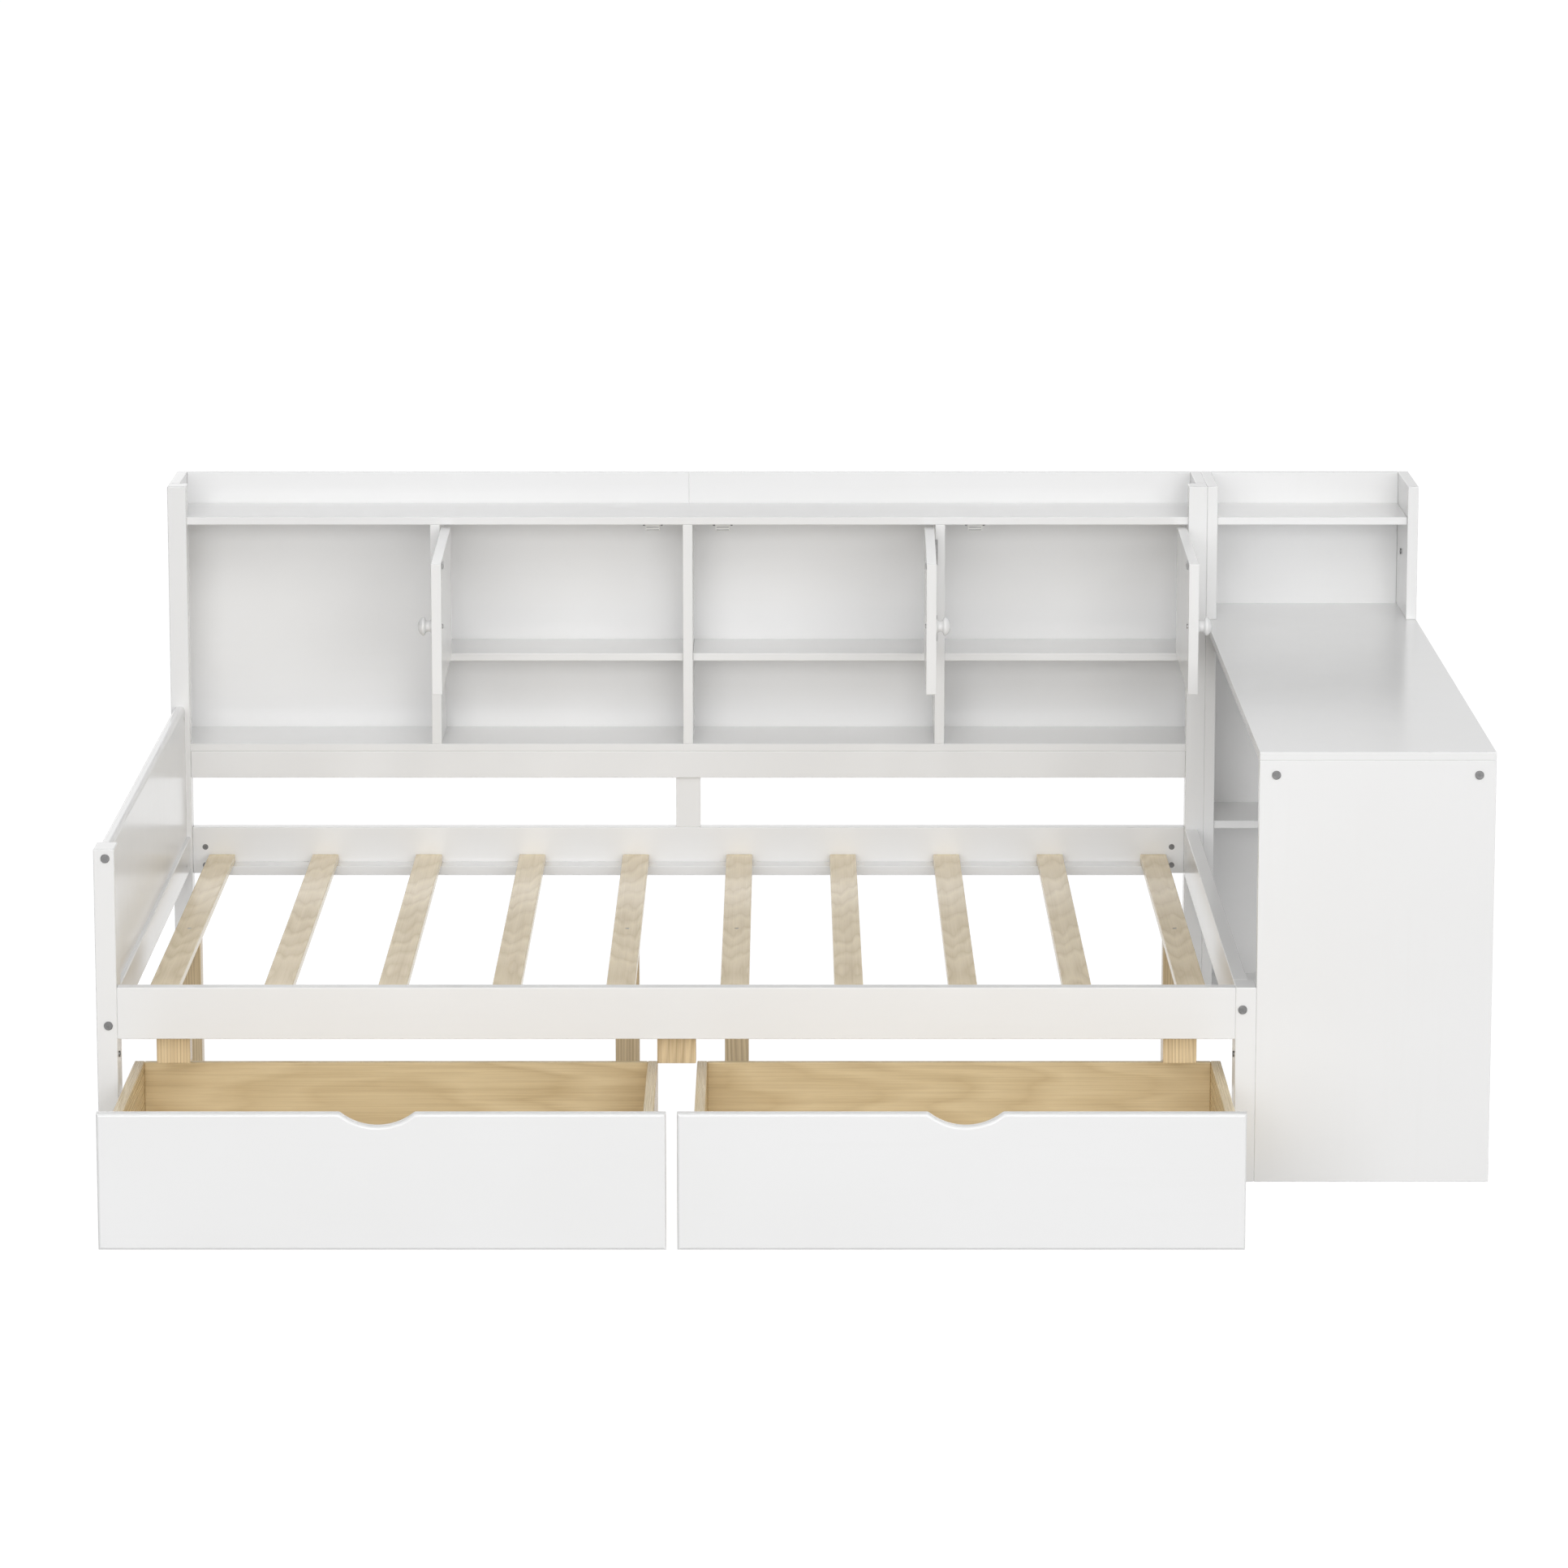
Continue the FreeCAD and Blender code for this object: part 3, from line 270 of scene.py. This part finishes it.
# ---- Metal and plastic -----------------------------------------------------------------------------
MARKS_SIZE, STAIN_SIZE, METAL_SHADE, MARKS_HEIGHT = 1300.0, 160.0, 0.72, 0.02 * MM
GRIT_SIZE, TINT_SIZE, PLASTIC_SHADE, GRIT_HEIGHT = 1600.0, 45.0, 0.93, 0.03 * MM


def metal(name, tone, roughness):
    """Plated or blackened steel with fine tumbling marks."""
    g = Surface(name)
    place = g.place()
    marks = g.noise(place, MARKS_SIZE, 3.0, 0.65)
    stain = g.noise(place, STAIN_SIZE, 2.0)
    deep = rgba(*(METAL_SHADE * channel for channel in tone))
    colour = g.mix(g.spread(stain, 0.3, 0.7, 0.0, 1.0), deep, rgba(*tone))
    rough = g.spread(marks, 0.3, 0.7, roughness - 0.07, roughness + 0.1)
    return g.finish(colour, rough, g.bump(marks, MARKS_HEIGHT, 0.4), Metallic=1.0)


def plastic(name, tone, roughness):
    """Moulded plastic with a fine spark-eroded texture."""
    g = Surface(name)
    place = g.place()
    grit = g.noise(place, GRIT_SIZE, 2.0, 0.7)
    tint = g.noise(place, TINT_SIZE, 2.0)
    deep = rgba(*(PLASTIC_SHADE * channel for channel in tone))
    colour = g.mix(g.spread(tint, 0.3, 0.7, 0.0, 1.0), deep, rgba(*tone))
    rough = g.spread(grit, 0.3, 0.7, roughness - 0.05, roughness + 0.08)
    return g.finish(colour, rough, g.bump(grit, GRIT_HEIGHT, 0.5))


X, Y, Z = 0, 1, 2
paint_x = paint("paint_along_x", X)
paint_y = paint("paint_along_y", Y)
paint_z = paint("paint_along_z", Z)

slat_low, slat_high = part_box("slats")
SLAT_COUNT = 10
SLAT_WIDTH = 51 * MM
slat_pitch = (slat_high.x - slat_low.x - SLAT_WIDTH) / (SLAT_COUNT - 1)
slat_cells = (slat_low.x + SLAT_WIDTH / 2, slat_pitch, X)
drawer_cells = (0.0, 0.40, X)       # a coarse grid, so that each side board has its own grain
SLAT_PALE, SLAT_DEEP = rgba(0.920, 0.765, 0.480), rgba(0.680, 0.525, 0.300)
BOX_PALE, BOX_DEEP = rgba(0.900, 0.760, 0.505), rgba(0.650, 0.510, 0.300)
LEG_PALE, LEG_DEEP = rgba(0.840, 0.680, 0.435), rgba(0.540, 0.400, 0.230)

slat_oak = wood("slat_wood", Y, X, SLAT_PALE, SLAT_DEEP, ring=0.0055, saddle=-0.20, rise=0.030, slope=0.05,
                drift=0.018, offset=-0.006, streak=80.0, cells=slat_cells, vary=0.35, figure=0.95,
                gloss=(0.15, 0.23))
box_oak_y = wood("drawer_wood_y", Y, Z, BOX_PALE, BOX_DEEP, ring=0.0060, rise=0.06, slope=0.04,
                 offset=0.05, streak=90.0, cells=drawer_cells, vary=1.0, figure=0.5)
box_oak_x = wood("drawer_wood_x", X, Z, BOX_PALE, BOX_DEEP, ring=0.0060, saddle=-0.7, rise=0.05,
                 slope=0.035, offset=0.12, streak=90.0, figure=0.6)
leg_pine = wood("leg_wood", Z, X, LEG_PALE, LEG_DEEP, ring=0.0050, rise=0.02, slope=0.03, streak=120.0,
                figure=0.95)
bolt_steel = metal("bolt_steel", (0.24, 0.24, 0.24), 0.34)
zinc = metal("zinc_steel", (0.52, 0.52, 0.52), 0.30)
wheel_nylon = plastic("wheel_nylon", (0.055, 0.055, 0.058), 0.42)
catch_white = plastic("catch_plastic", (0.78, 0.78, 0.76), 0.38)

finishes = {
    paint_x: ("front_rail", "back_rail", "bookcase_top_shelf", "bookcase_bottom_board",
              "bookcase_apron", "door_bay_shelves", "hutch_shelf", "desk_shelf",
              "desk_bottom_board", "bookcase_back_panels", "left_drawer_front",
              "right_drawer_front", "slat_ledgers"),
    paint_y: ("footboard_panel", "footboard_lower_rail", "right_end_rail", "desktop",
              "desk_side_rails"),
    paint_z: ("left_front_post", "right_front_post", "left_upright", "right_upright",
              "bookcase_sides", "bookcase_dividers", "centre_post", "desk_front_panel",
              "desk_lower_sides", "hutch_sides", "desk_back_panel", "door_1_panel",
              "door_2_panel", "door_3_panel", "door_1_knob", "door_2_knob", "door_3_knob"),
    slat_oak: ("slats",),
    leg_pine: ("slat_legs", "drawer_stop_blocks"),
    box_oak_y: ("left_drawer_sides", "right_drawer_sides"),
    box_oak_x: ("left_drawer_back", "right_drawer_back", "left_drawer_tray", "right_drawer_tray"),
    bolt_steel: ("frame_bolts", "slat_screws", "left_drawer_screws", "right_drawer_screws",
                 "barrel_nuts"),
    zinc: ("hinge_frame_leaves", "door_1_fittings", "door_2_fittings", "door_3_fittings",
           "left_drawer_caster_brackets", "right_drawer_caster_brackets"),
    wheel_nylon: ("left_drawer_front_wheels", "left_drawer_rear_wheels",
                  "right_drawer_front_wheels", "right_drawer_rear_wheels"),
    catch_white: ("magnet_catches",),
}
for material, names in finishes.items():
    for name in names:
        mesh = nodes[name].data
        mesh.materials.clear()
        mesh.materials.append(material)


# ---- Small hardware --------------------------------------------------------------------------------
WELD = 1e-6
SMOOTH_UNDER = 35.0         # degrees between faces that shade as one


def solids_of(node):
    """The separate solids in a node's mesh: each one's faces, lowest corner and highest corner."""
    form = bmesh.new()
    form.from_mesh(nodes[node].data)
    bmesh.ops.remove_doubles(form, verts=form.verts, dist=WELD)
    left = set(form.verts)
    found = []
    while left:
        group, edge = set(), [next(iter(left))]
        while edge:
            vert = edge.pop()
            if vert in group:
                continue
            group.add(vert)
            edge += [link.other_vert(vert) for link in vert.link_edges]
        left -= group
        faces = [(face.calc_area(), face.normal.copy(), face.calc_center_median())
                 for face in form.faces if face.verts[0] in group]
        low = Vector(min(vert.co[axis] for vert in group) for axis in range(3))
        high = Vector(max(vert.co[axis] for vert in group) for axis in range(3))
        found.append((faces, low, high))
    form.free()
    return sorted(found, key=lambda solid: tuple(solid[1]))


def eased_box(form, low, high, radius):
    """A box from its low to its high corner, with all its edges rounded."""
    made = bmesh.ops.create_cube(form, size=1.0)["verts"]
    for vert in made:
        vert.co = Vector(high[axis] if vert.co[axis] > 0 else low[axis] for axis in range(3))
    edges = list({edge for vert in made for edge in vert.link_edges})
    bmesh.ops.bevel(form, geom=edges, offset=radius, segments=3, affect="EDGES", profile=0.6)


def pan_head(form, seat, normal, radius, height):
    """A domed screw head with a cross pressed into it."""
    rings, sides = 9, 32
    recess, arm, sunk = 0.62 * radius, 0.17 * radius, 0.45 * height
    across_x = normal.orthogonal().normalized()
    across_y = normal.cross(across_x)
    rows = []
    for step in range(rings + 1):
        share = 1.0 - step / rings
        rise = height * math.sqrt(1.0 - share ** 4)
        row = []
        for turn in range(sides):
            angle = math.tau * turn / sides
            x, y = radius * share * math.cos(angle), radius * share * math.sin(angle)
            in_cross = min(abs(x), abs(y)) < arm and math.hypot(x, y) < recess
            level = rise - (sunk if in_cross else 0.0)
            row.append(form.verts.new(seat + across_x * x + across_y * y + normal * level))
        rows.append(row)
    for outer, inner in zip(rows[:-2], rows[1:-1]):
        for turn in range(sides):
            after = (turn + 1) % sides
            form.faces.new((outer[turn], outer[after], inner[after], inner[turn]))
    form.faces.new(rows[-2])
    bmesh.ops.delete(form, geom=rows[-1], context="VERTS")


def piece(name, form, material, body):
    """Make a visible piece that rides a body, and free its form."""
    mesh = bpy.data.meshes.new(name)
    bmesh.ops.recalc_face_normals(form, faces=form.faces)
    form.to_mesh(mesh)
    form.free()
    mesh.shade_smooth()
    mesh.set_sharp_from_angle(angle=math.radians(SMOOTH_UNDER))
    mesh.materials.append(material)
    made = bpy.data.objects.new(name, mesh)
    scene.collection.objects.link(made)
    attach(made, body)
    return made


def magnet_catches():
    """A moulded housing on a flange with two screws, and two steel plates at its mouth."""
    plate_high, plate_proud, plate_side, plate_deep = 1.7 * MM, 0.25 * MM, 1.6 * MM, 2.0 * MM
    plate_levels = (7.8 * MM, 13.0 * MM)
    flange_high, flange_inset = 3.0 * MM, 3.0 * MM
    screw_radius, screw_high = 2.6 * MM, 3.4 * MM
    housing_width, neck_inset, neck_low = 27.5 * MM, 0.6 * MM, 1.0 * MM
    housing_ease, flange_ease, neck_ease, plate_ease = 1.0 * MM, 0.8 * MM, 0.5 * MM, 0.3 * MM
    housings, plates, screws = bmesh.new(), bmesh.new(), bmesh.new()
    for _, low, high in solids_of("magnet_catches"):
        middle = (low.x + high.x) / 2
        x0, x1 = middle - housing_width / 2, middle + housing_width / 2
        flange_under = high.z - flange_high
        eased_box(housings, (x0, low.y, low.z), (x1, high.y, flange_under), housing_ease)
        eased_box(housings, (low.x, low.y + flange_inset, flange_under),
                  (high.x, high.y - flange_inset, high.z), flange_ease)
        eased_box(housings, (x0 + neck_inset, low.y + neck_inset, flange_under - neck_low),
                  (x1 - neck_inset, high.y - neck_inset, high.z), neck_ease)
        for level in plate_levels:
            eased_box(plates, (x0 + plate_side, low.y - plate_proud, high.z - level - plate_high / 2),
                      (x1 - plate_side, low.y + plate_deep, high.z - level + plate_high / 2), plate_ease)
        for side in (-1, 1):
            ear = (housing_width / 2 + (high.x - low.x) / 2) / 2
            seat = Vector((middle + side * ear, (low.y + high.y) / 2, flange_under))
            pan_head(screws, seat, Vector((0, 0, -1)), screw_radius, screw_high)
    housing = piece("catch_housings", housings, catch_white, "bed_frame")
    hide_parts("magnet_catches")
    piece("catch_plates", plates, bolt_steel, "bed_frame")
    piece("catch_screws", screws, bolt_steel, "bed_frame")


def strike_screws():
    """A low screw head in the middle of each door's strike plate, clear of the catch when shut."""
    head_radius, head_proud, head_sunk = 3.8 * MM, 0.45 * MM, 0.1 * MM
    for number in (1, 2, 3):
        door = "door_%d" % number
        low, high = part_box(door + "_panel")
        panel_middle = (low + high) / 2
        faces, low, high = max(solids_of(door + "_fittings"), key=lambda solid: solid[2].z)
        away = (low + high) / 2 - panel_middle
        _, normal, place = max(faces, key=lambda face: face[0] * (face[1].dot(away) > 0))
        heads = bmesh.new()
        pan_head(heads, place - normal * head_sunk, normal, head_radius, head_proud)
        piece(door + "_strike_screw", heads, bolt_steel, door)


magnet_catches()
strike_screws()


# ---- Studio ----------------------------------------------------------------------------------------
FLOOR_HALF, FLOOR_DROP = 90.0, 0.4 * MM
FLOOR_GLOW = 0.97
SOFTBOX_SIDE, SOFTBOX_DISTANCE = 3.2, 10.0
SOFTBOX_TARGET = Vector((0.0, 0.9, 0.6))


def studio_floor():
    """A wide pale floor. It glows white, and sheds no light on matt surfaces."""
    mesh = bpy.data.meshes.new("studio_floor")
    corners = [(-FLOOR_HALF, -FLOOR_HALF), (FLOOR_HALF, -FLOOR_HALF),
               (FLOOR_HALF, FLOOR_HALF), (-FLOOR_HALF, FLOOR_HALF)]
    mesh.from_pydata([(x, y, -FLOOR_DROP) for x, y in corners], [], [(0, 1, 2, 3)])
    floor = bpy.data.objects.new("studio_floor", mesh)
    scene.collection.objects.link(floor)
    g = Surface("studio_floor")
    g.finish(rgba(0.12, 0.12, 0.12), 0.9, Emission_Color=rgba(1, 1, 1), Emission_Strength=FLOOR_GLOW,
             Specular_IOR_Level=0.0)
    mesh.materials.append(g.material)
    floor.visible_diffuse = False


def soft_light(bearing, elevation, power):
    """A square softbox aimed at the bookcase; bearing is in degrees right of the camera's side."""
    turn, tilt = math.radians(bearing), math.radians(elevation)
    away = Vector((math.cos(tilt) * math.sin(turn), -math.cos(tilt) * math.cos(turn), math.sin(tilt)))
    data = bpy.data.lights.new("softbox", "AREA")
    data.shape = "SQUARE"
    data.size = SOFTBOX_SIDE
    data.energy = power
    lamp = bpy.data.objects.new("softbox", data)
    scene.collection.objects.link(lamp)
    lamp.location = SOFTBOX_TARGET + away * SOFTBOX_DISTANCE
    lamp.rotation_euler = (-away).to_track_quat("-Z", "Y").to_euler()


def studio_dome(patches):
    """Soft white panels all round, each fading out at its edges along x, y and z."""
    world = bpy.data.worlds.new("studio")
    scene.world = world
    world.use_nodes = True
    g = Graph(world.node_tree)
    heading = [g.spread(part, -1.0, 1.0, 0.0, 1.0) for part in g.parts(g.place("Generated"))]
    total = 0.0
    for strength, *edges in patches:
        level = strength
        for source, stops in zip(heading, edges):
            if stops:
                fade = g.ramp(source, [((position + 1.0) / 2.0, share) for position, share in stops])
                level = g.math("MULTIPLY", fade, level)
        total = g.math("ADD", level, total)
    background = g.tree.nodes["Background"]
    background.inputs["Color"].default_value = rgba(1.0, 1.0, 1.0)
    g.put(background.inputs["Strength"], total)


# A panel's edges: how bright it is along one axis of the direction, which runs from -1 to 1.
BELOW = [(-0.05, 1.0), (0.0, 0.0)]
LOW = [(-0.03, 0.0), (0.0, 1.0), (0.25, 1.0), (0.35, 0.0)]
MIDDLE = [(0.25, 0.0), (0.35, 1.0), (0.60, 1.0), (0.75, 0.0)]
OVERHEAD = [(0.60, 0.0), (0.75, 1.0)]
FRONT = [(-0.80, 1.0), (-0.60, 0.0)]
BACK = [(0.60, 0.0), (0.80, 1.0)]
RIGHT = [(0.45, 0.0), (0.60, 1.0)]
LEFT = [(-0.60, 1.0), (-0.45, 0.0)]
AHEAD_LEFT = [(0.0, 1.0), (0.08, 0.0)]

# Each panel's strength, and its edges along x, y and z.
DOME_PANELS = [
    (0.284, None, None, BELOW),
    (0.402, RIGHT, None, BELOW),
    (1.400, None, FRONT, LOW),
    (0.250, RIGHT, None, LOW),
    (0.950, None, BACK, LOW),
    (0.400, AHEAD_LEFT, BACK, LOW),
    (0.185, None, FRONT, MIDDLE),
    (1.000, None, BACK, MIDDLE),
    (0.350, LEFT, None, MIDDLE),
    (0.540, RIGHT, None, MIDDLE),
    (0.469, None, None, OVERHEAD),
]
# Each softbox's bearing and elevation in degrees, and its power in watts.
SOFTBOXES = [(-12, 20, 64), (0, 35, 124), (35, 35, 50), (-12, 10, 92), (12, 10, 114)]

studio_floor()
studio_dome(DOME_PANELS)
for bearing, elevation, power in SOFTBOXES:
    soft_light(bearing, elevation, power)

# ---- Camera ----------------------------------------------------------------------------------------
CAMERA_PLACE = (-0.01701, -11.25108, 2.72752)
CAMERA_TILT = 79.2705               # degrees up from straight down
CAMERA_LENS, CAMERA_SENSOR = 145.694, 36.0
CAMERA_REACH = 400.0

camera_data = bpy.data.cameras.new("camera")
camera_data.lens = CAMERA_LENS
camera_data.sensor_width = CAMERA_SENSOR
camera_data.clip_end = CAMERA_REACH
camera = bpy.data.objects.new("camera", camera_data)
scene.collection.objects.link(camera)
camera.location = CAMERA_PLACE
camera.rotation_euler = (math.radians(CAMERA_TILT), 0.0, 0.0)
scene.camera = camera
scene.view_settings.view_transform = "Standard"
